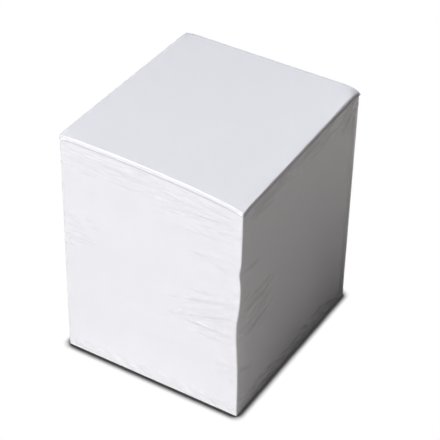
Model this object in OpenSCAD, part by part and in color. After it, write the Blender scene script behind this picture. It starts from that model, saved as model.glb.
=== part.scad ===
// Memo cube refill: a block of loose note sheets sealed in clear shrink film.
// The origin is the middle of the underside, +Z is up, and the front faces -Y.
// Film and paper are the same skin at two offsets. The skin is a net of rings and columns:
// a ring is a height on the block, and a column is a distance t walked round its outline,
// anticlockwise from the crushed front right edge. So the right side comes first, then
// the back, the left side and the front, and a negative t lies on the front.

/* [Paper block] */
// Width of a sheet, from left to right
sheet_w = 90; // [80:1:105]
// Depth of a sheet, from front to back
sheet_d = 100; // [80:1:115]
// Height of the pressed stack of sheets
stack_h = 117.3; // [100:0.1:140]
// How much lower the stack stands at its front right corner
corner_droop = 4.5; // [0:0.5:6]
// Radius of the edges round the top
top_edge_r = 0.25; // [0.2:0.05:0.6]
// Radius that the top edge grows to at the bent back right corner
bent_edge_r = 1.1; // [0.6:0.1:1.4]
// Radius of the edges round the underside
base_edge_r = 0.35; // [0.25:0.05:1]
// Radius of an upright edge that isn't crushed
upright_edge_r = 0.5; // [0.4:0.1:1]
// How far a bundle of sheets slips back from the sides
bundle_slip = 0.12; // [0:0.02:0.2]
// Height of a bundle of sheets that slipped together
bundle_h = 13; // [8:1:25]

/* [Crushed corners] */
// How deep the lower dent is pressed into the right side at the front right edge
low_dent = 1.5; // [0:0.1:2.5]
// Height of the deepest point of the lower dent
low_dent_z = 52; // [40:1:60]
// How far up from there the lower dent runs out
low_dent_rise = 10; // [6:1:14]
// How far down from there the lower dent runs out
low_dent_tail = 20; // [8:1:24]
// How deep the upper dent is pressed in
high_dent = 0.9; // [0:0.1:1.5]
// Height of the middle of the upper dent
high_dent_z = 83; // [75:1:90]
// Half the height of the upper dent
high_dent_span = 3.8; // [3:0.2:6]
// How far from the edge both dents run out along the sides
dent_reach = 9; // [6:1:14]
// How far the back right corner of the top is bent down
right_corner_fall = 1; // [0:0.1:3]
// How far each other corner of the top is bent down
corner_fall = 0.4; // [0:0.1:2]
// How far from its tip a corner is bent down
fall_reach = 3; // [3:0.5:8]

/* [Shrink film] */
// Thickness of the film
film_t = 0.05; // [0.04:0.01:0.1]
// Air gap between the film and the paper
film_gap = 0.1; // [0.08:0.01:0.2]
// Diameter of the vent in the underside, where air leaves as the film shrinks
vent_d = 3; // [2:0.5:5]
// Gap between the bent top edge and the ridge of the trim seal
seal_gap = 0.05; // [0:0.05:0.8]
// How far the trim seal stands out
seal_out = 0.2; // [0:0.05:0.8]
// Height of the trim seal's ridge
seal_h = 0.9; // [0.6:0.1:1.2]
// How far the ear of film stands out at the back right corner
big_ear = 0.35; // [0:0.1:1.2]
// How far the ear stands out at each other corner
small_ear = 0.2; // [0:0.1:1]
// How wide an ear is along the seal, to each side of its corner
ear_reach = 4; // [2:0.5:6]

/* [Gathers] */
// How far a full gather of the film stands out
gather_out = 0.5; // [0:0.05:0.7]
// Half the width of a gather
gather_half_w = 1.7; // [1.4:0.1:2.5]
// How far the crinkles along the underside stand out
hem_out = 0.2; // [0:0.05:0.4]
// Spacing of the crinkles along the underside
hem_pitch = 9; // [7:1:14]
// Height of the middle of those crinkles
hem_z = 4.2; // [4:0.1:6]
// Half the height of those crinkles
hem_half_h = 3.4; // [2:0.2:3.4]

/* [Hidden] */

paper_colour = "white";
film_colour = [0.86, 0.9, 0.95, 0.35];

half_w = sheet_w / 2;
half_d = sheet_d / 2;
around = 2 * (sheet_w + sheet_d);
base_z = film_gap + film_t;
top_z = base_z + stack_h;
seal_z = top_z - max(top_edge_r, bent_edge_r) - seal_gap - seal_h / 2;

// How steeply the stack's top falls away towards the front right corner
droop_power = 3;
// Half the turn that the outline makes at an upright edge, in degrees
half_turn = 45;
// How far past the back right corner the top edge turns sharp again
fade_reach = 3;
// How far each bundle of sheets is out of step with the last, in degrees
bundle_turn = 137;
// How far the crinkles' wave leans with height, in degrees for each millimetre
hem_turn = 40;

// The four sides in the order that t meets them: start corner, direction, outward normal, length
SIDES = [
    [[half_w, -half_d], [0, 1], [1, 0], sheet_d],
    [[half_w, half_d], [-1, 0], [0, 1], sheet_w],
    [[-half_w, half_d], [0, -1], [-1, 0], sheet_d],
    [[-half_w, -half_d], [1, 0], [0, -1], sheet_w],
];
side_start = [0, sheet_d, sheet_d + sheet_w, 2 * sheet_d + sheet_w];
// How far the ear at the start corner of each side stands out
ears = [small_ear, big_ear, small_ear, small_ear];

// Gathers that fan out from the front right edge and its dents.
// Each is a line on the unrolled film: t and height of both ends, then its share of gather_out.
front_fan = [
    [-34, 94, -3, 99, 0.3],
    [-24, 84, -2, 88, 0.3],
    [-36, 55, -1, 66, 0.5],
    [-36, 45, -1, 58, 0.6],
    [-30, 50, -1, 62, 0.4],
    [-32, 45.5, -1, 47, 0.6],
    [-22, 41, -1, 43, 0.5],
    [-12, 27, -1, 30, 0.4],
];
right_fan = [
    [1, 66.5, 26, 65, 0.8],
    [1, 60, 24, 61, 0.9],
    [1, 49, 26, 58, 1],
    [1, 45, 20, 49, 0.8],
    [1, 28, 12, 22, 0.6],
    [1, 84, 14, 82, 0.5],
];
// Gathers that run level under the trim seal: t and drop below the seal of both ends, then the share
under_seal = [
    [-82, 5, -34, 5.5, 0.4],
    [-40, 7, -4, 7.5, 0.5],
    [-76, 9, -52, 11, 0.35],
    [-66, 13, -38, 10, 0.3],
    [-32, 11.5, -4, 8.3, 0.6],
    [8, 3.5, 40, 5, 0.6],
    [38, 4.5, 74, 4, 0.6],
    [78, 9, 98, 3, 1],
    [84, 14, 98, 5.5, 0.9],
    [86, 4.5, 97, 2, 1],
];
// Upright gathers where the film is pulled round the back right edge
back_right_edge = [
    [96, 3, 95.4, 34, 0.7],
    [95.4, 28, 96.6, 66, 0.9],
    [96.5, 58, 95.6, 90, 0.8],
    [95.6, 82, 96.6, 110, 0.9],
];
// Gathers on the two far sides, where the film is folded and its ends were gathered
far_side = [
    [118, 30, 150, 34, 0.8],
    [128, 62, 172, 58, 0.9],
    [108, 84, 140, 90, 0.7],
    [196, 70, 226, 62, 0.6],
    [200, 44, 240, 50, 0.6],
    [250, 88, 284, 80, 0.5],
    [258, 30, 286, 38, 0.5],
];

// Heights of the rings on the sides: close together where the film is gathered
low_rings = [1.8, 4, 6.5, 12, 20, 27];
fan_first = 32;
fan_last = 69;
fan_step = 3.05;
fan_rings = [for (z = fan_first; z <= fan_last; z = z + fan_step) z];
mid_rings = [75, 79, 83, 87, 92];
// Rings below the seal, and across its ridge, as distances from its middle
drops_below_seal = [16.5, 13.5, 11.3, 9.5, 7.9, 6.3, 4.9, 3.5, 1.7];
seal_shares = [-1 / 2, -1 / 4, 1 / 8, 1 / 2];
ring_room = 2;
side_rings = concat(
    [
        for (z = concat(low_rings, fan_rings, mid_rings))
            if (z < seal_z - drops_below_seal[0] - ring_room) z
    ],
    [for (drop = drops_below_seal) seal_z - drop],
    [for (share = seal_shares) seal_z + share * seal_h]
);
// Rings round the base edge, round the top edge, and across the top as shares of its size
round_steps = 3;
base_angles = [for (k = [round_steps : -1 : 0]) 90 * k / round_steps];
top_angles = [for (k = [1 : round_steps]) 90 * k / round_steps];
cap_shares = [0.93, 0.6, 0.28];

// Distances of the columns from the nearer corner: closest at the crushed edge, and where the
// film is pulled round the back right edge
near_crush = [0, 0.5, 1.2, 2.2, 3.6, 5.5, 9, 13.5, 18, 23, 29, 36];
near_pulled_edge = [0, 0.3, 0.8, 2.2, 3.2, 4.2, 5.6, 11, 20];
near_edge = [0, 0.3, 0.8, 3, 6, 11, 20];
near_far_edge = [0, 0.4, 5, 16];

function columns_between(start, length, first, last) = concat(
    [for (gap = first) start + gap],
    [for (k = [len(last) - 1 : -1 : 1]) start + length - last[k]]
);
columns = concat(
    columns_between(side_start[0], sheet_d, near_crush, near_pulled_edge),
    columns_between(side_start[1], sheet_w, near_edge, near_far_edge),
    columns_between(side_start[2], sheet_d, near_far_edge, near_far_edge),
    columns_between(side_start[3], sheet_w, near_edge, near_crush)
);
cols = len(columns);

function hump(x) = abs(x) < 1 ? pow(1 - x * x, 2) : 0;
function bell(x) = exp(-x * x);
function clamp(x, low, high) = min(max(x, low), high);
function wrapped(t) = t < 0 ? t + around : t;

// How far the right side is pressed in beside the crushed front right edge
function crush(t, z) =
    (
        low_dent * bell((z - low_dent_z) / (z > low_dent_z ? low_dent_rise : low_dent_tail))
        + high_dent * bell((z - high_dent_z) / high_dent_span)
    ) * pow(max(1 - min(t, around - t) / dent_reach, 0), 2);
// Radius of the top edge: it grows along the right side towards the bent back corner
function rim_r(t) =
    let (past = t - sheet_d, bent = past < 0 ? pow(t / sheet_d, 2) : pow(max(1 - past / fade_reach, 0), 2))
    top_edge_r + (bent_edge_r - top_edge_r) * bent;

// Outline of the block at a height: the point at t, pushed out by a distance along its normal
function side_of(t) = t < side_start[1] ? 0 : t < side_start[2] ? 1 : t < side_start[3] ? 2 : 3;
function lean(s, length) =
    let (r = upright_edge_r)
    s < r ? -half_turn * (1 - s / r) : length - s < r ? half_turn * (1 - (length - s) / r) : 0;
function outline(t, z, out) =
    let (
        k = side_of(t),
        side = SIDES[k],
        s = t - side_start[k],
        length = side[3],
        angle = lean(s, length),
        r = angle == 0 ? 0 : upright_edge_r,
        along = angle < 0 ? r : angle > 0 ? length - r : s,
        normal = cos(angle) * side[2] + sin(angle) * side[1]
    )
    side[0] + along * side[1] - r * side[2] + (r + out) * normal - [crush(t, z), 0];
// The same outline at the base or top, with every side moved out by a distance, or in if it is negative.
// It is stretched and not offset, so that its corners stay round however far it moves in.
function stretched_outline(t, z, out) =
    let (p = outline(t, z, 0))
    [p[0] * (half_w + out) / half_w, p[1] * (half_d + out) / half_d];

// Height of the top sheet: it falls away to the front right corner, and its tips are bent down
function tip_fall(p, tip, fall) = fall * bell(norm(p - tip) / fall_reach);
function sheet_top(p) =
    let (
        u = clamp((p[0] + half_w) / sheet_w, 0, 1),
        v = clamp((half_d - p[1]) / sheet_d, 0, 1)
    )
    top_z - corner_droop * pow(u, droop_power) * v
    - tip_fall(p, [half_w, half_d], right_corner_fall)
    - tip_fall(p, [half_w, -half_d], corner_fall)
    - tip_fall(p, [-half_w, half_d], corner_fall)
    - tip_fall(p, [-half_w, -half_d], corner_fall);
// The whole stack is pressed with its top sheet, so each height is scaled at that point
function pressed(z, p) = base_z + (z - base_z) * (sheet_top(p) - base_z) / stack_h;

// How far the film stands away from the paper
function gather(t, z, line) =
    let (
        from = [wrapped(line[0]), line[1]],
        to = [wrapped(line[2]), line[3]],
        run = to - from,
        length = norm(run),
        step = [t, z] - from,
        share = step * run / (length * length),
        off_line = (step[0] * run[1] - step[1] * run[0]) / length
    )
    share > 0 && share < 1
        ? line[4] * gather_out * hump(off_line / gather_half_w) * sqrt(sin(180 * share))
        : 0;
function gathers(t, z) =
    max([
        for (line = concat(front_fan, right_fan, back_right_edge, far_side)) gather(t, z, line),
        for (row = under_seal) gather(t, z, [row[0], seal_z - row[1], row[2], seal_z - row[3], row[4]])
    ]);
function hem(t, z) =
    let (waves = round(around / hem_pitch), wave = (1 + cos(360 * waves * t / around + hem_turn * z)) / 2)
    hem_out * wave * hump((z - hem_z) / hem_half_h);
function ear(t) =
    max([
        for (k = [0 : len(ears) - 1], lap = [0, around])
            ears[k] * hump((t - side_start[k] - lap) / ear_reach)
    ]);
function seal(t, z) = hump((z - seal_z) / (seal_h / 2)) * (seal_out + ear(t));
function loose(t, z) = max(gathers(t, z), hem(t, z), seal(t, z));

// One ring of the skin on the sides
function side_ring(z, out, film) = [
    for (t = columns)
        let (
            p = outline(t, z, out + (film ? loose(t, z) : 0)),
            foot = outline(t, z, 0)
        )
        [p[0], p[1], pressed(z, foot)]
];
// Rings that roll over the top edge, and rings on the flat top
function top_round(angle, out) = [
    for (t = columns)
        let (
            foot = outline(t, top_z, 0),
            r = rim_r(t),
            p = stretched_outline(t, top_z, -r + (r + out) * cos(angle))
        )
        [p[0], p[1], sheet_top(foot) - r + (r + out) * sin(angle)]
];
function top_cap(share, out) = [
    for (t = columns)
        let (p = share * stretched_outline(t, top_z, -rim_r(t)))
        [p[0], p[1], sheet_top(p) + out]
];
// Rings that roll under the base edge
function base_round(angle, out) = [
    for (t = columns)
        let (p = stretched_outline(t, base_z, -base_edge_r + (base_edge_r + out) * cos(angle)))
        [p[0], p[1], base_z + base_edge_r - (base_edge_r + out) * sin(angle)]
];

// Faces between neighbouring rings of a net, and from its last ring to its crown.
// The net's points start at first, and a wall seen from inside turns its faces round.
function turned(face, inward) = inward ? [face[0], face[2], face[1]] : face;
function net_faces(first, ring_count, inward) = concat(
    [
        for (r = [0 : ring_count - 2], k = [0 : cols - 1])
            let (a = first + r * cols + k, b = first + r * cols + (k + 1) % cols)
            each [turned([a, a + cols, b], inward), turned([b, a + cols, b + cols], inward)]
    ],
    [
        for (k = [0 : cols - 1])
            let (top = first + (ring_count - 1) * cols)
            turned([top + k, top + cols, top + (k + 1) % cols], inward)
    ]
);
function net_points(rings, out) = concat([for (ring = rings) each ring], [[0, 0, sheet_top([0, 0]) + out]]);

// Solid skin: the net, closed by one flat face underneath
module solid_skin(rings, out) {
    underside = [for (k = [0 : cols - 1]) k];
    polyhedron(
        points = net_points(rings, out),
        faces = concat([underside], net_faces(0, len(rings), false))
    );
}

// Thin shell: an outer and an inner net, joined round the rim of the vent underneath
module shell(outer, outer_out, inner, inner_out) {
    n = len(outer);
    second = n * cols + 1;
    rim = [
        for (k = [0 : cols - 1])
            let (m = (k + 1) % cols)
            each [[k, m, second + k], [m, second + m, second + k]]
    ];
    polyhedron(
        points = concat(net_points(outer, outer_out), net_points(inner, inner_out)),
        faces = concat(net_faces(0, n, false), net_faces(second, n, true), rim)
    );
}

// Rim of the vent in the underside, evenly spaced, with its first point towards the first column
function vent_ring(out) = [
    for (k = [0 : cols - 1])
        let (angle = atan2(-half_d, half_w) + 360 * k / cols)
        [vent_d / 2 * cos(angle), vent_d / 2 * sin(angle), base_z - out]
];
function film_rings(out) = concat(
    [vent_ring(out)],
    [for (angle = base_angles) base_round(angle, out)],
    [for (z = side_rings) side_ring(z, out, true)],
    [for (angle = top_angles) top_round(angle, out)],
    [for (share = cap_shares) top_cap(share, out)]
);

// Bundles of sheets that slipped back a little from the sides
function slip(z) = -bundle_slip * (1 + sin(bundle_turn * floor(z / bundle_h))) / 2;
function paper_rings() = concat(
    [for (angle = base_angles) base_round(angle, 0)],
    [for (z = side_rings) side_ring(z, slip(z), false)],
    [for (angle = top_angles) top_round(angle, 0)],
    [for (share = cap_shares) top_cap(share, 0)]
);

module paper_block() {
    color(paper_colour) solid_skin(paper_rings(), 0);
}

module shrink_film() {
    inside = film_gap;
    outside = film_gap + film_t;
    color(film_colour) shell(film_rings(outside), outside, film_rings(inside), inside);
}

paper_block();
shrink_film();
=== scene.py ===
# %% [markdown]
# # A memo cube refill
# The object is a tall block of loose, square-cut note paper. It was sealed in clear film, and the
# film was shrunk on to it with hot air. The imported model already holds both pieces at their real
# size. This lesson gives them the fine form and the finish that a close look shows: sheet edges,
# creases in the film, the trim seal, and the way that thin gloss film catches light.

import math

import bpy
import numpy as np
from mathutils import Matrix, Vector


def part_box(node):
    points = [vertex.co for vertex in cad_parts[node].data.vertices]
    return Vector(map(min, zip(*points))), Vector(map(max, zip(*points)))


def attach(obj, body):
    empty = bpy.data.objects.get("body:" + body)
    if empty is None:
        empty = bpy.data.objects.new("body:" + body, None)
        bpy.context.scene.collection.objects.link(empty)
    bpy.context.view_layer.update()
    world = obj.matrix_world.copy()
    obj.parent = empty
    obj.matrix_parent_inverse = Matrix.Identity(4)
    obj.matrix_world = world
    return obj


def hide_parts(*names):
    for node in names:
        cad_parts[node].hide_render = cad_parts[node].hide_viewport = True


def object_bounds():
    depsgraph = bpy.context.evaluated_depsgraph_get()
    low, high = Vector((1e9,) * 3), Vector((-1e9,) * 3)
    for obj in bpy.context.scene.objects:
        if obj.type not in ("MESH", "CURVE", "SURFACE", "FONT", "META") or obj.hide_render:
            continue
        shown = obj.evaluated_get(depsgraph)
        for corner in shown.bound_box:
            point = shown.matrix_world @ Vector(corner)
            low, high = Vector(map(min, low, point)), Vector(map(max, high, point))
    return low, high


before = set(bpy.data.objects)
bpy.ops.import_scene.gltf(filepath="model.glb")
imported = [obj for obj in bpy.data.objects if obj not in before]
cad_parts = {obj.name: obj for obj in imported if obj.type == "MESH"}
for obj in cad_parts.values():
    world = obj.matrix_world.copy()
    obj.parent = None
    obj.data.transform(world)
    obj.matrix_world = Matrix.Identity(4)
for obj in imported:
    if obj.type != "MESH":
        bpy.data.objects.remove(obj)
cad_box = [list(corner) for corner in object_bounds()]
print("nodes", sorted(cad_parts), "box", cad_box)

# %% [markdown]
# ## Sizes
# The formulas below are easier to read in millimetres, so every size is kept in millimetres until a
# mesh is made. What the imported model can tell, such as how wide the sheets are, is read from its
# boxes. The rest repeats the driving sizes of the model, so that the fine meshes keep its form.

# %% Sizes of the stack and of the film
MM = 0.001
low, high = (np.array(corner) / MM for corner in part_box("paper_block"))
half_w, half_d = (high[0] - low[0]) / 2, (high[1] - low[1]) / 2
base_z, top_z = low[2], high[2]
stack_h = top_z - base_z
around = 4 * (half_w + half_d)

top_edge_r, bent_edge_r, base_edge_r, upright_edge_r = 0.25, 1.1, 0.35, 0.5
fade_reach = 3.0
corner_droop, droop_power = 4.5, 3
right_corner_fall, corner_fall, fall_reach = 1.0, 0.4, 3.0
low_dent, low_dent_z, low_dent_rise, low_dent_tail = 1.5, 52.0, 10.0, 20.0
high_dent, high_dent_z, high_dent_span, dent_reach = 0.9, 83.0, 3.8, 9.0
film_gap, film_t, vent_r = 0.1, 0.05, 1.5
seal_h, seal_gap, seal_out, ear_reach = 0.9, 0.05, 0.2, 4.0
seal_z = top_z - bent_edge_r - seal_gap - seal_h / 2
print(f"sheets {2 * half_w:.1f} x {2 * half_d:.1f} mm, stack {stack_h:.1f} mm, seal at {seal_z:.1f} mm")

# %% [markdown]
# ## The unrolled wrap
# Film on a block is a flat strip that was bent round four edges. So the wrap is drawn on the flat
# strip first: t is the distance walked round the block, anticlockwise from the crushed front right
# edge, and z is the height. Creases are then straight lines on the strip, whichever side they lie
# on. One function bends the strip back round the block, and the paper uses it too. At an upright
# edge, each of its two sides takes half of the quarter turn.

# %% Bend the strip round the block
side_start = np.array([0, 2 * half_d, 2 * (half_d + half_w), 4 * half_d + 2 * half_w])
side_length = np.array([2 * half_d, 2 * half_w, 2 * half_d, 2 * half_w])
side_corner = np.array([[half_w, -half_d], [half_w, half_d], [-half_w, half_d], [-half_w, -half_d]])
side_along = np.array([[0, 1], [-1, 0], [0, -1], [1, 0]])
side_normal = np.array([[1, 0], [0, 1], [-1, 0], [0, -1]])
half_turn = np.radians(45)


def hump(x):
    """A smooth bump, 1 in the middle and 0 from -1 and 1 outwards."""
    return np.maximum(1 - np.square(x), 0) ** 2


def bell(x):
    return np.exp(-np.square(x))


def crush(t, z):
    """How far the right side is pressed in beside the front right edge, which is crushed in two places."""
    span = np.where(z > low_dent_z, low_dent_rise, low_dent_tail)
    depth = low_dent * bell((z - low_dent_z) / span) + high_dent * bell((z - high_dent_z) / high_dent_span)
    from_edge = np.minimum(t, around - t)
    return depth * np.maximum(1 - from_edge / dent_reach, 0) ** 2


def outline(t, z, out):
    """x and y of a point of the strip, lifted by out from the block's side."""
    t, z, out = np.broadcast_arrays(t, z, out)
    k = np.clip(np.searchsorted(side_start, t, side="right") - 1, 0, 3)
    s, length, r = t - side_start[k], side_length[k], upright_edge_r
    at_first, at_last = s < r, length - s < r
    angle = np.where(at_first, -half_turn * (1 - s / r), 0)
    angle = np.where(at_last, half_turn * (1 - (length - s) / r), angle)
    bend_r = np.where(at_first | at_last, r, 0)
    along = np.where(at_first, r, np.where(at_last, length - r, s))
    normal = np.cos(angle)[..., None] * side_normal[k] + np.sin(angle)[..., None] * side_along[k]
    foot = side_corner[k] + along[..., None] * side_along[k] - bend_r[..., None] * side_normal[k]
    moved = foot + (bend_r + out)[..., None] * normal
    moved[..., 0] -= crush(t, z)
    return moved


def stretched_outline(t, z, out):
    """The outline at the base or top, with its sides moved out by a distance, or in."""
    share = np.stack(np.broadcast_arrays(1 + out / half_w, 1 + out / half_d), axis=-1)
    return outline(t, z, 0) * share


def rim_r(t):
    """Radius of the top edge, which grows along the right side towards the bent back corner."""
    side, past = side_length[0], t - side_length[0]
    bent = np.where(past < 0, (t / side) ** 2, np.maximum(1 - past / fade_reach, 0) ** 2)
    return top_edge_r + (bent_edge_r - top_edge_r) * bent


print(f"the strip is {around:.1f} mm round")

# %% [markdown]
# ## A stack that leans and droops
# Loose sheets don't stay a perfect block. Here the stack is pressed low at its front right corner,
# and its top tips are bent down where the film pulled on them. Every height below the top is pressed
# down in the same share, so the sheet edges draw closer together towards that corner.

# %% Height of the top sheet, and how the sheets below follow it
def sheet_top(p):
    u = np.clip((p[..., 0] + half_w) / (2 * half_w), 0, 1)
    v = np.clip((half_d - p[..., 1]) / (2 * half_d), 0, 1)
    height = top_z - corner_droop * u**droop_power * v
    for x, y, fall in (
        (half_w, half_d, right_corner_fall),
        (half_w, -half_d, corner_fall),
        (-half_w, half_d, corner_fall),
        (-half_w, -half_d, corner_fall),
    ):
        height = height - fall * bell(np.hypot(p[..., 0] - x, p[..., 1] - y) / fall_reach)
    return height


def pressed(z, p):
    return base_z + (z - base_z) * (sheet_top(p) - base_z) / stack_h


tips = np.array([[half_w, -half_d], [half_w, half_d], [-half_w, -half_d]])
print("top at the front right, back right and front left tips", sheet_top(tips).round(2))

# %% [markdown]
# ## Creases
# Shrink film gathers into small sharp ridges wherever it has more length than the paper under it:
# beside the crushed edge, under the seal, and along the foot. A crease is a line on the strip with a
# height and a width. The large ones stand where the model has them. The fine ones are too many to
# place by hand, so a seeded random generator strews them inside a zone, always in the same way.

# %% Large gathers, as in the model: t and z of both ends, then the share of the full height
gather_out, gather_half_w = 0.5, 1.7
front_fan = [
    (-34, 94, -3, 99, 0.3), (-24, 84, -2, 88, 0.3), (-36, 55, -1, 66, 0.5), (-36, 45, -1, 58, 0.6),
    (-30, 50, -1, 62, 0.4), (-32, 45.5, -1, 47, 0.6), (-22, 41, -1, 43, 0.5), (-12, 27, -1, 30, 0.4),
]
right_fan = [
    (1, 66.5, 26, 65, 0.8), (1, 60, 24, 61, 0.9), (1, 49, 26, 58, 1),
    (1, 45, 20, 49, 0.8), (1, 28, 12, 22, 0.6), (1, 84, 14, 82, 0.5),
]
under_seal = [
    (-82, 5, -34, 5.5, 0.4), (-40, 7, -4, 7.5, 0.5), (-76, 9, -52, 11, 0.35), (-66, 13, -38, 10, 0.3),
    (-32, 11.5, -4, 8.3, 0.6), (8, 3.5, 40, 5, 0.6), (38, 4.5, 74, 4, 0.6), (78, 9, 98, 3, 1),
    (84, 14, 98, 5.5, 0.9), (86, 4.5, 97, 2, 1),
]
far_side = [
    (118, 30, 150, 34, 0.8), (128, 62, 172, 58, 0.9), (108, 84, 140, 90, 0.7), (196, 70, 226, 62, 0.6),
    (200, 44, 240, 50, 0.6), (250, 88, 284, 80, 0.5), (258, 30, 286, 38, 0.5),
]
back_right_edge = [
    (96, 3, 95.4, 34, 0.7), (95.4, 28, 96.6, 66, 0.9), (96.5, 58, 95.6, 90, 0.8), (95.6, 82, 96.6, 110, 0.9),
]
large = front_fan + right_fan + far_side + back_right_edge
large += [(t0, seal_z - drop0, t1, seal_z - drop1, share) for t0, drop0, t1, drop1, share in under_seal]
gathers = [(t0, z0, t1, z1, share * gather_out, gather_half_w) for t0, z0, t1, z1, share in large]
print(len(gathers), "large gathers")

# %% Fine creases, strewn in zones: how many, where they lie, how long, how steep, how high and how wide
rng = np.random.default_rng(11)


def strew(count, t_range, z_range, long, slope, out, half_width):
    """Creases with their middles in a zone. Slope is in degrees, rising along t."""
    made = []
    for _ in range(count):
        t, z = rng.uniform(*t_range), rng.uniform(*z_range)
        reach, rise = rng.uniform(*long) / 2, math.radians(rng.uniform(*slope))
        dt, dz = reach * math.cos(rise), reach * math.sin(rise)
        made.append((t - dt, z - dz, t + dt, z + dz, rng.uniform(*out), rng.uniform(*half_width)))
    return made


under, top_band = seal_z - 1.5, seal_z - 2
zones = [
    # Under the seal, on the front and on the right side
    (60, (-84, -6), (seal_z - 14, under), (5, 20), (-5, 6), (0.08, 0.18), (0.5, 0.9)),
    (34, (-38, -4), (seal_z - 15, seal_z - 3), (5, 16), (4, 15), (0.08, 0.18), (0.5, 0.8)),
    (44, (4, 98), (seal_z - 9, under), (6, 20), (-5, 5), (0.15, 0.3), (0.5, 0.9)),
    # Beside the dents of the crushed edge, first on the front, then on the right side
    (44, (-26, -2), (41, 66), (6, 20), (11, 22), (0.08, 0.18), (0.5, 0.9)),
    (12, (-10, -2), (20, 40), (3, 8), (-8, 8), (0.08, 0.18), (0.5, 0.8)),
    (12, (-10, -2), (66, 84), (3, 8), (-8, 8), (0.08, 0.18), (0.5, 0.8)),
    (22, (2, 20), (44, 66), (8, 22), (8, 26), (0.15, 0.35), (0.6, 1.0)),
    # At the left edge of the front
    (14, (-88, -74), (60, 84), (5, 12), (-4, 6), (0.08, 0.18), (0.5, 0.8)),
    # Along the foot, on the front and on the right side
    (90, (-84, -3), (0.9, 6), (3, 9), (-25, 25), (0.12, 0.26), (0.4, 0.7)),
    (90, (3, 98), (0.9, 10), (4, 12), (-30, 14), (0.2, 0.42), (0.45, 0.9)),
    # On the two far sides: the foot, under the seal, and between them
    (80, (104, 286), (1.6, 9), (4, 14), (-14, 14), (0.1, 0.26), (0.6, 1.0)),
    (70, (104, 286), (seal_z - 14, top_band), (8, 30), (-5, 5), (0.1, 0.26), (0.6, 1.0)),
    (40, (104, 286), (20, 96), (12, 34), (-14, 14), (0.08, 0.2), (0.8, 1.3)),
]
crinkles = [line for zone in zones for line in strew(*zone)]
print(len(crinkles), "fine creases")

# %% [markdown]
# A crease has to be a function of t and z, because the mesh asks for the film's height at each of its
# points. The ridge is highest along its middle line and fades at both ends. Where creases cross, the
# film follows the higher one, so the largest value is taken and not the sum.

# %% Height of the film over the paper
def crease(t, z, line):
    t0, z0, t1, z1, out, half_width = line
    t0, t1 = (t0 + around, t1 + around) if t0 < 0 else (t0, t1)
    run = np.array([t1 - t0, z1 - z0])
    length = np.hypot(*run)
    share = ((t - t0) * run[0] + (z - z0) * run[1]) / length**2
    off = ((t - t0) * run[1] - (z - z0) * run[0]) / length
    fade = np.sqrt(np.sin(np.pi * np.clip(share, 0, 1)))
    return out * hump(off / half_width) * fade


hem_out, hem_pitch, hem_z, hem_half_h, hem_turn = 0.2, 9.0, 4.2, 3.4, 40.0
ears = (0.2, 0.35, 0.2, 0.2)


def hem(t, z):
    waves = round(around / hem_pitch)
    wave = (1 + np.cos(2 * np.pi * waves * t / around + np.radians(hem_turn * z))) / 2
    return hem_out * wave * hump((z - hem_z) / hem_half_h)


def seal(t, z):
    ear = np.zeros_like(t)
    for start, out in zip(side_start, ears):
        for lap in (0, around):
            ear = np.maximum(ear, out * hump((t - start - lap) / ear_reach))
    return hump((z - seal_z) / (seal_h / 2)) * (seal_out + ear)


def loose(t, z):
    t, z = np.broadcast_arrays(np.asarray(t, float), np.asarray(z, float))
    height = np.maximum(hem(t, z), seal(t, z))
    for line in gathers + crinkles:
        height = np.maximum(height, crease(t, z, line))
    return height


sample = loose(np.linspace(0, around, 200, endpoint=False)[None, :], np.linspace(1, seal_z, 200)[:, None])
print(f"film stands up to {sample.max():.2f} mm off the paper, {sample.mean():.3f} mm on average")

# %% [markdown]
# ## One net for both skins
# Paper and film are nets of rings and columns. Close rings would be wasted where the film lies flat,
# so they are set close only where creases run, and columns are closest at the crushed edge. The net
# is written as arrays, which is much faster in Python than adding points one by one.

# %% Rings and columns
def spaced(first, last, step):
    return np.linspace(first, last, max(2, round(abs(last - first) / step) + 1))


def columns_on(length, near_first, near_last, step):
    """Distances from a side's first corner, closer towards both corners."""
    first = np.array(near_first)
    last = length - np.array(near_last)[::-1]
    return np.concatenate([first, spaced(first[-1], last[0], step)[1:-1], last])[:-1]


near_crush = [0, 0.12, 0.25, 0.38, 0.5, 0.8, 1.2, 1.7, 2.3, 3, 4, 5, 6.2, 7.5]
near_edge = [0, 0.12, 0.25, 0.4, 0.7, 1.2, 2, 3, 4.2]
column_step = 1.6
t = np.concatenate([
    side_start[0] + columns_on(side_length[0], near_crush, near_edge, column_step),
    side_start[1] + columns_on(side_length[1], near_edge, near_edge, 2 * column_step),
    side_start[2] + columns_on(side_length[2], near_edge, near_edge, 2 * column_step),
    side_start[3] + columns_on(side_length[3], near_edge, near_crush, column_step),
])
ring_z = np.concatenate([
    spaced(1.2, 9.5, 0.45),
    spaced(11, 40, 1.6),
    spaced(41, 67, 0.6),
    spaced(68.5, 98, 1.5),
    spaced(99, seal_z - seal_h / 2, 0.4),
    seal_z + seal_h * np.array([-0.4, -0.3, -0.2, -0.1, 0, 0.1, 0.2, 0.3, 0.4, 0.5]),
])
print(len(t), "columns,", len(ring_z), "rings on the sides")

# %% Rings of a skin, from the underside to the top
base_turn = np.radians([90, 72, 54, 36, 18, 0])
top_turn = np.radians([0, 18, 36, 54, 72, 90])
cap_shares = [0.985, 0.96, 0.92, 0.86, 0.78, 0.68, 0.56, 0.42, 0.28, 0.14]
base_shares = [0.97, 0.85, 0.6, 0.3, 0.1]


def flat_ring(share, z):
    p = share * stretched_outline(t, base_z, -base_edge_r)
    return np.column_stack([p, np.full(len(t), z)])


def base_ring(angle, out):
    p = stretched_outline(t, base_z, -base_edge_r + (base_edge_r + out) * math.cos(angle))
    z = base_z + base_edge_r - (base_edge_r + out) * math.sin(angle)
    return np.column_stack([p, np.full(len(t), z)])


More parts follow.
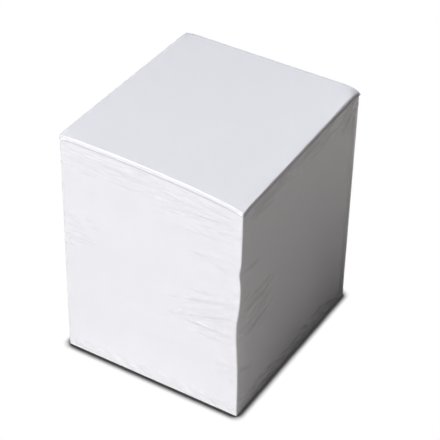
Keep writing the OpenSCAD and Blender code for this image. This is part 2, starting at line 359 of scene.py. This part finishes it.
def side_ring(z, lift, out):
    """lift is the height over the paper at each column."""
    foot = outline(t, z, 0)
    return np.column_stack([outline(t, z, out + lift), pressed(z, foot)])


def top_ring(angle, out):
    foot, r = outline(t, top_z, 0), rim_r(t)
    p = stretched_outline(t, top_z, -r + (r + out) * math.cos(angle))
    return np.column_stack([p, sheet_top(foot) - r + (r + out) * math.sin(angle)])


def cap_ring(share, out):
    p = share * stretched_outline(t, top_z, -rim_r(t))
    return np.column_stack([p, sheet_top(p) + out])


def skin_rings(out, lift):
    rings = [base_ring(angle, out) for angle in base_turn]
    rings += [side_ring(z, lift[k], out) for k, z in enumerate(ring_z)]
    rings += [top_ring(angle, out) for angle in top_turn]
    return rings + [cap_ring(share, out) for share in cap_shares]


def first_side_ring(rings):
    return len(rings) - len(cap_shares) - len(top_turn) - len(ring_z)


print(len(base_turn), "rings roll under the base edge,", len(top_turn), "over the top edge")

# %% [markdown]
# The paper's material draws the edges of the sheets from t and z as well. So each net also gets a UV
# map that holds t and z in metres, the way a tailor's pattern would. Faces are made as quads between
# neighbouring rings, and the last ring closes on the crown, a point in the middle of the top.

# %% Make a mesh from rings
def strip_map(rings):
    """t and the unpressed height of every point, for the UV map."""
    p = np.array(rings)
    height = np.broadcast_to(p[..., 2], p.shape[:2]).copy()
    first_side = first_side_ring(rings)
    height[first_side:first_side + len(ring_z)] = ring_z[:, None]
    return np.stack([np.broadcast_to(t, p.shape[:2]), height], axis=-1)


def net_faces(first, ring_count, inward):
    k = np.arange(len(t))
    a = first + np.arange(ring_count - 1)[:, None] * len(t) + k
    b = first + np.arange(ring_count - 1)[:, None] * len(t) + (k + 1) % len(t)
    quads = np.stack([a, b, b + len(t), a + len(t)], axis=-1).reshape(-1, 4)
    last = first + (ring_count - 1) * len(t)
    fan = np.stack([last + k, last + (k + 1) % len(t), np.full(len(t), last + len(t))], axis=-1)
    if inward:
        quads, fan = quads[:, ::-1], fan[:, ::-1]
    return quads.tolist() + fan.tolist()


def add_mesh(name, points, faces, uv):
    mesh = bpy.data.meshes.new(name)
    mesh.from_pydata(points * MM, [], faces)
    layer = mesh.uv_layers.new(name="strip")
    corner = np.empty(len(mesh.loops), dtype=np.int32)
    mesh.loops.foreach_get("vertex_index", corner)
    layer.data.foreach_set("uv", (uv[corner] * MM).ravel())
    mesh.shade_smooth()
    mesh.validate()
    piece = bpy.data.objects.new(name, mesh)
    bpy.context.scene.collection.objects.link(piece)
    print(name, len(mesh.vertices), "points,", sum(len(p.vertices) - 2 for p in mesh.polygons), "triangles")
    return piece


def crown(out):
    return np.array([[0.0, 0.0, sheet_top(np.zeros(2)) + out]])


# %% [markdown]
# ## The paper
# The stack is one solid, because no single sheet shows. Its sides still tell that it is loose paper:
# bundles of sheets have slipped by a tenth of a millimetre, and the cut is never quite even. Both are
# real steps in the mesh, as each ring is set back by its own small amount.

# %% Paper block
bundle_h, bundle_slip, cut_unevenness = 13.0, 0.12, 0.03
bundle_turn = np.radians(137)
bundle_back = bundle_slip * (1 + np.sin(bundle_turn * np.floor(ring_z / bundle_h))) / 2
paper_back = bundle_back + cut_unevenness * rng.random(len(ring_z))
paper_lift = -np.broadcast_to(paper_back[:, None], (len(ring_z), len(t)))
paper_rings = skin_rings(0, paper_lift)
paper_points = np.concatenate([np.concatenate(paper_rings), crown(0)])
paper_uv = np.concatenate([strip_map(paper_rings).reshape(-1, 2), [[0, top_z]]])
paper_faces = [list(range(len(t)))[::-1]] + net_faces(0, len(paper_rings), False)
paper = add_mesh("note_sheets", paper_points, paper_faces, paper_uv)
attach(paper, "root")
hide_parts("paper_block")

# %% [markdown]
# ## The film
# The film is a true shell with an outer and an inner skin, 0.05 mm apart, joined at the rim of the
# small vent in the underside through which the air left. Both skins rise over the creases together,
# so the film keeps its thickness. A Solidify modifier would do the same on a single skin, but the
# net gives both skins directly and leaves no doubt about which way they face.

# %% Shrink film
film_lift = loose(t[None, :], ring_z[:, None])


def vent_ring(out):
    angle = math.atan2(-half_d, half_w) + 2 * np.pi * np.arange(len(t)) / len(t)
    return np.column_stack([vent_r * np.cos(angle), vent_r * np.sin(angle), np.full(len(t), base_z - out)])


def film_skin(out):
    rings = [vent_ring(out)] + [flat_ring(share, base_z - out) for share in base_shares[::-1]]
    return rings + skin_rings(out, film_lift)


outer, inner = film_skin(film_gap + film_t), film_skin(film_gap)
second = len(outer) * len(t) + 1
k = np.arange(len(t))
rim = np.stack([k, second + k, second + (k + 1) % len(t), (k + 1) % len(t)], axis=-1)
film_faces = net_faces(0, len(outer), False) + net_faces(second, len(inner), True) + rim.tolist()
film_points = np.concatenate([
    np.concatenate(outer), crown(film_gap + film_t), np.concatenate(inner), crown(film_gap),
])
skin_uv = [np.append(strip_map(rings).reshape(-1, 2), [[0, top_z]], axis=0) for rings in (outer, inner)]
film = add_mesh("clear_film", film_points, film_faces, np.concatenate(skin_uv))
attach(film, "root")
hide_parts("shrink_film")

# %% [markdown]
# Two more things are kept with the mesh for the film's material, each as a share from 0 to 1: how far
# the film is gathered at a point, and how dark the painted shade along the seal is. That grey line
# stands in for the shadow under the seal's ridge and the light its bead of molten film bends aside.
# It is darkest towards the back right corner, and lies a little below the middle of the seal's ridge.

# %% How gathered the film is, and where the seal's painted shade lies
full_gather, seal_shade_drop, seal_shade_half_h = 0.3, 0.25, 0.6
seal_shade_t = [0, 60, 85, 100, 104, 290, 300, 345, 380]
seal_shade_share = [0.6, 0.75, 1, 0.9, 0.4, 0.2, 0.25, 0.35, 0.35]


def keep_share(name, on_sides):
    """Keeps a share for each point of both skins. It is 0 away from the rings on the sides."""
    share = np.zeros((len(outer), len(t)))
    first_side = first_side_ring(outer)
    share[first_side:first_side + len(ring_z)] = on_sides
    one_skin = np.append(share.ravel(), 0)
    layer = film.data.attributes.new(name, "FLOAT", "POINT")
    layer.data.foreach_set("value", np.concatenate([one_skin, one_skin]))
    print(f"{name}: {np.mean(share > 0):.2f} of the points have a share")


off_seal = hump((ring_z - seal_z) / (seal_h / 2))[:, None] == 0
in_seal_shade = hump((ring_z - seal_z + seal_shade_drop) / seal_shade_half_h)[:, None]
keep_share("gathered", np.clip(film_lift / full_gather, 0, 1) * off_seal)
# The painted shade along the seal, darkest towards the back right corner.
keep_share("seal_shade", in_seal_shade * np.interp(t, seal_shade_t, seal_shade_share))

# %% [markdown]
# ## Colours and nodes
# Colours are picked as sRGB hex values, which is what a colour picker shows, and turned to the linear
# values that Blender works with. One small function adds a node, sets its inputs and links what feeds
# it. An input is given by its name or, where several have the same name, by its number, as in _6.

# %% Helpers for materials
def colour(hex_value):
    parts = [int(hex_value[i:i + 2], 16) / 255 for i in (1, 3, 5)]
    linear = [c / 12.92 if c <= 0.04045 else ((c + 0.055) / 1.055) ** 2.4 for c in parts]
    return (*linear, 1.0)


def add_node(tree, kind, settings=None, **inputs):
    """Adds a node. A setting is a property of the node. An input is a value or another node's socket."""
    node = tree.nodes.new(kind)
    for name, value in (settings or {}).items():
        setattr(node, name, value)
    for name, value in inputs.items():
        socket = node.inputs[int(name[1:])] if name[0] == "_" else node.inputs[name.replace("_", " ")]
        if isinstance(value, bpy.types.NodeSocket):
            tree.links.new(value, socket)
        else:
            socket.default_value = value
    return node


def new_material(name):
    material = bpy.data.materials.new(name)
    material.use_nodes = True
    material.node_tree.nodes.clear()
    return material, material.node_tree


print("#f1f2f5 in linear values:", [round(c, 3) for c in colour("#f1f2f5")[:3]])

# %% [markdown]
# ### Uncoated woodfree note paper
# Note paper is cut from sheets without any coating. Its face is matt, with a faint cloud of fibres a
# few millimetres across, and the brightener in it makes it a little bluish. Its cut sides are more
# neutral, and show the edges of the sheets as fine level lines. The top is given a tone a shade
# darker and cooler than the sides: partly the bluish face of the sheet, partly painted shade and
# painted cool light from above. A sheet is only 0.1 mm thick, far too fine to show, so the lines are
# drawn about 0.8 mm apart, as groups of sheets that stand together.

# %% Paper material
note_paper, tree = new_material("uncoated_woodfree_paper")
strip = add_node(tree, "ShaderNodeUVMap", {"uv_map": "strip"}).outputs["UV"]
sheet_group, line_length, cloud = 0.8 * MM, 60 * MM, 4 * MM
edge_depth, cloud_depth = 0.04 * MM, 0.02 * MM
stretch = add_node(tree, "ShaderNodeMapping", Vector=strip, Scale=(1 / line_length, 1 / sheet_group, 1))
edges = add_node(tree, "ShaderNodeTexNoise", Vector=stretch.outputs[0], Scale=1.0, Detail=2.0)
place = add_node(tree, "ShaderNodeTexCoord").outputs["Object"]
clouds = add_node(tree, "ShaderNodeTexNoise", Vector=place, Scale=1 / cloud, Detail=3.0)
cloud_value = add_node(tree, "ShaderNodeMapRange", Value=clouds.outputs[0], To_Min=0.975, To_Max=1.015)
normal = add_node(tree, "ShaderNodeNewGeometry").outputs["Normal"]
facing = add_node(tree, "ShaderNodeSeparateXYZ", Vector=normal)
# Faces that look up get a tone a shade darker and cooler: partly the sheet's own face, partly painted shade
# and painted cool light from above.
top_share_painted_shade = add_node(tree, "ShaderNodeMapRange", Value=facing.outputs[2], From_Min=0.6, From_Max=0.9)
paper_and_top_shade_tone = add_node(
    tree, "ShaderNodeMix", {"data_type": "RGBA"}, Factor=top_share_painted_shade.outputs[0],
    _6=colour("#f3f3f5"), _7=colour("#f1f2f5"),
)
cloudy = add_node(tree, "ShaderNodeHueSaturation", Value=cloud_value.outputs[0], Color=paper_and_top_shade_tone.outputs[2])
edge_bump = add_node(tree, "ShaderNodeBump", Height=edges.outputs[0], Distance=edge_depth, Strength=0.5)
bump = add_node(
    tree, "ShaderNodeBump", Height=clouds.outputs[0], Distance=cloud_depth, Strength=0.1,
    Normal=edge_bump.outputs[0],
)
shader = add_node(
    tree, "ShaderNodeBsdfPrincipled", Base_Color=cloudy.outputs[0], Roughness=0.9, IOR=1.5,
    Normal=bump.outputs[0],
)
add_node(tree, "ShaderNodeOutputMaterial", Surface=shader.outputs[0])
paper.data.materials.append(note_paper)
print(note_paper.name, len(tree.nodes), "nodes")

# %% [markdown]
# ### Polyolefin shrink film
# Shrink film is a clear, soft plastic blown thin and stretched, so that heat pulls it tight. Two
# things make it show. Its smooth skins mirror a little of what is around them, more at a glancing
# angle. And its body has a faint haze, which is stronger where the film is gathered and thick, so
# creases show as light and dark streaks. Refraction is left out, because skins 0.05 mm apart would
# shift the paper by almost nothing. Only the seal is a thick bead of molten film, which bends light
# aside like a glass rod and casts a thin shadow under its ridge, so it shows as a fine grey line.
# That line is painted shade here: a grey tint along the seal.
#
# The Fresnel node takes the back of a face for the inside of solid plastic, which would mirror
# everything past 42 degrees. Light goes straight on through thin film, so the index is turned round
# there, and a skin mirrors the same share from both sides.

# %% Film material
shrink_film, tree = new_material("polyolefin_shrink_film")
film_ior, haze, gathered_haze = 1.5, 0.1, 0.25
leaving = add_node(tree, "ShaderNodeNewGeometry").outputs["Backfacing"]
either_way = add_node(
    tree, "ShaderNodeMath", {"operation": "MULTIPLY_ADD"},
    _0=leaving, _1=1 / film_ior - film_ior, _2=film_ior,
)
glance = add_node(tree, "ShaderNodeFresnel", IOR=either_way.outputs[0]).outputs[0]
# Painted shade along the seal: there the clear and the milky part both turn grey, for the shadow under the
# seal's ridge and the light its bead bends aside.
seal_shade_here = add_node(tree, "ShaderNodeAttribute", {"attribute_name": "seal_shade"}).outputs["Fac"]
clear_tint = add_node(
    tree, "ShaderNodeMix", {"data_type": "RGBA"}, Factor=seal_shade_here,
    _6=colour("#fdfdfe"), _7=colour("#cfcfd2"),
)
milky_tint = add_node(
    tree, "ShaderNodeMix", {"data_type": "RGBA"}, Factor=seal_shade_here,
    _6=colour("#f4f4f6"), _7=colour("#c6c6c9"),
)
clear = add_node(tree, "ShaderNodeBsdfTransparent", Color=clear_tint.outputs[2])
milky = add_node(tree, "ShaderNodeBsdfDiffuse", Color=milky_tint.outputs[2])
gathered_here = add_node(tree, "ShaderNodeAttribute", {"attribute_name": "gathered"}).outputs["Fac"]
hazy = add_node(tree, "ShaderNodeMapRange", Value=gathered_here, To_Min=haze, To_Max=gathered_haze)
body = add_node(tree, "ShaderNodeMixShader", _0=hazy.outputs[0], _1=clear.outputs[0], _2=milky.outputs[0])
gloss = add_node(tree, "ShaderNodeBsdfAnisotropic", Color=colour("#ffffff"), Roughness=0.14)
skin = add_node(tree, "ShaderNodeMixShader", _0=glance, _1=body.outputs[0], _2=gloss.outputs[0])
add_node(tree, "ShaderNodeOutputMaterial", Surface=skin.outputs[0])
film.data.materials.append(shrink_film)
print(shrink_film.name, len(tree.nodes), "nodes")

# %% [markdown]
# ## Floor
# The block stands on a plain floor that the camera sees as pure white, as on a packshot table lit
# from below. The table top glows by itself, and the thin dark line along the block's foot is painted
# shadow: the glow dims where an occlusion test finds the block close. The light that the floor throws
# back up matters too: the block's own shadow keeps it off the foot of the right side. One sheet
# can't be both, so the camera sees a glowing table top, and a light grey card just under it, which
# only the light meets, does the bouncing.

# %% Floor
def add_floor(name, height, reach, material):
    mesh = bpy.data.meshes.new(name)
    corners = [(x * reach, y * reach, height) for x, y in ((-1, -1), (1, -1), (1, 1), (-1, 1))]
    mesh.from_pydata(corners, [], [(0, 1, 2, 3)])
    mesh.materials.append(material)
    plane = bpy.data.objects.new(name, mesh)
    bpy.context.scene.collection.objects.link(plane)
    return plane


floor_reach, contact_reach, card_drop = 3.0, 3.6 * MM, 0.5 * MM
# The painted shadow at the foot: how closed the occlusion is there, and how dark the glow gets.
open_at_foot, painted_shadow_tone = 0.66, 0.05
table_glow_painted_shadow, tree = new_material("table_glow_painted_shadow")
# Painted shadow: the glow dims to a thin dark line where an ambient occlusion test finds the block close.
near = add_node(tree, "ShaderNodeAmbientOcclusion", Distance=contact_reach)
painted_contact_shadow = add_node(
    tree, "ShaderNodeMapRange", Value=near.outputs["AO"],
    From_Min=open_at_foot, From_Max=1.0, To_Min=painted_shadow_tone, To_Max=1.0,
)
glow = add_node(tree, "ShaderNodeEmission", Color=colour("#ffffff"), Strength=painted_contact_shadow.outputs[0])
add_node(tree, "ShaderNodeOutputMaterial", Surface=glow.outputs[0])
table = add_floor("table", 0, floor_reach, table_glow_painted_shadow)
table.visible_diffuse = table.visible_glossy = False
table.visible_shadow = table.visible_transmission = False

grey_card, tree = new_material("grey_card")
shader = add_node(tree, "ShaderNodeBsdfPrincipled", Base_Color=colour("#b4b1ad"), Roughness=0.8)
add_node(tree, "ShaderNodeOutputMaterial", Surface=shader.outputs[0])
card = add_floor("card", -card_drop, floor_reach, grey_card)
card.visible_camera = False
print("table and card", 2 * floor_reach, "m wide, the card", card_drop / MM, "mm lower")

# %% [markdown]
# ## Light
# A tall soft box stands to the front left, as three round lamps one above the other. So the front is
# the brightest side, and the top comes next. The right side turns away from them. It gets the light
# that the card throws back up and a little from the dim surroundings, and its glossy film mirrors
# the card, which is brightest past the block's own shadow.

# %% Lights
def add_light(name, place, aim, size, power):
    data = bpy.data.lights.new(name, "AREA")
    data.shape, data.size, data.energy = "DISK", size, power
    light = bpy.data.objects.new(name, data)
    light.location = place
    light.rotation_euler = (Vector(aim) - Vector(place)).to_track_quat("-Z", "Y").to_euler()
    bpy.context.scene.collection.objects.link(light)
    light.visible_camera = False


def lamp_place(from_front, height):
    """Where a lamp stands, by its angle round from the front to the left, and its angle up."""
    a, e = math.radians(from_front), math.radians(height)
    flat = math.cos(e) * lamp_far
    return (-math.sin(a) * flat, -math.cos(a) * flat, math.sin(e) * lamp_far)


lamp_far, lamp_size, lamp_turn = 4.0, 2.8, 25
# Each lamp's angle up, in degrees, and its power in watts
soft_box = {"low": (35, 87), "middle": (50, 100), "high": (65, 52)}
middle = (0, 0, top_z / 2 * MM)
for name, (height, power) in soft_box.items():
    add_light(f"soft_box_{name}", lamp_place(lamp_turn, height), middle, lamp_size, power)

surroundings = 0.07
world = bpy.data.worlds.new("studio")
bpy.context.scene.world = world
world.use_nodes = True
backdrop = world.node_tree.nodes["Background"]
backdrop.inputs[0].default_value, backdrop.inputs[1].default_value = colour("#ffffff"), surroundings
print(len(soft_box), "lamps,", lamp_far, "m away,", [height for height, _ in soft_box.values()], "degrees up")

# %% [markdown]
# ## Camera
# The camera stands as it did for the photo: about 30 degrees round to the right of the front and 37
# degrees up, with a long lens, so the upright edges stay nearly parallel.

# %% Camera
azimuth, elevation, roll = (math.radians(a) for a in (30.56, 37.32, 1.35))
distance, aside, lens_mm, sensor_mm = 735.7, (-4.03, 0.16), 133.2, 36.0
flat = math.cos(elevation)
back = Vector((math.sin(azimuth) * flat, -math.cos(azimuth) * flat, math.sin(elevation)))
level = Vector((math.cos(azimuth), math.sin(azimuth), 0))
upright = back.cross(level)
right = math.cos(roll) * level + math.sin(roll) * upright
up = math.cos(roll) * upright - math.sin(roll) * level
turn = Matrix((right, up, back)).transposed().to_4x4()
camera_data = bpy.data.cameras.new("camera")
camera_data.sensor_width, camera_data.lens = sensor_mm, lens_mm
camera = bpy.data.objects.new("camera", camera_data)
aim = Vector((0, 0, (cad_box[0][2] + cad_box[1][2]) / 2))
stand = aim + (back * distance - right * aside[0] - up * aside[1]) * MM
camera.matrix_world = Matrix.Translation(stand) @ turn
bpy.context.scene.collection.objects.link(camera)
bpy.context.scene.camera = camera
bpy.context.scene.view_settings.view_transform = "Standard"
print("camera at", [round(c, 4) for c in camera.matrix_world.translation])
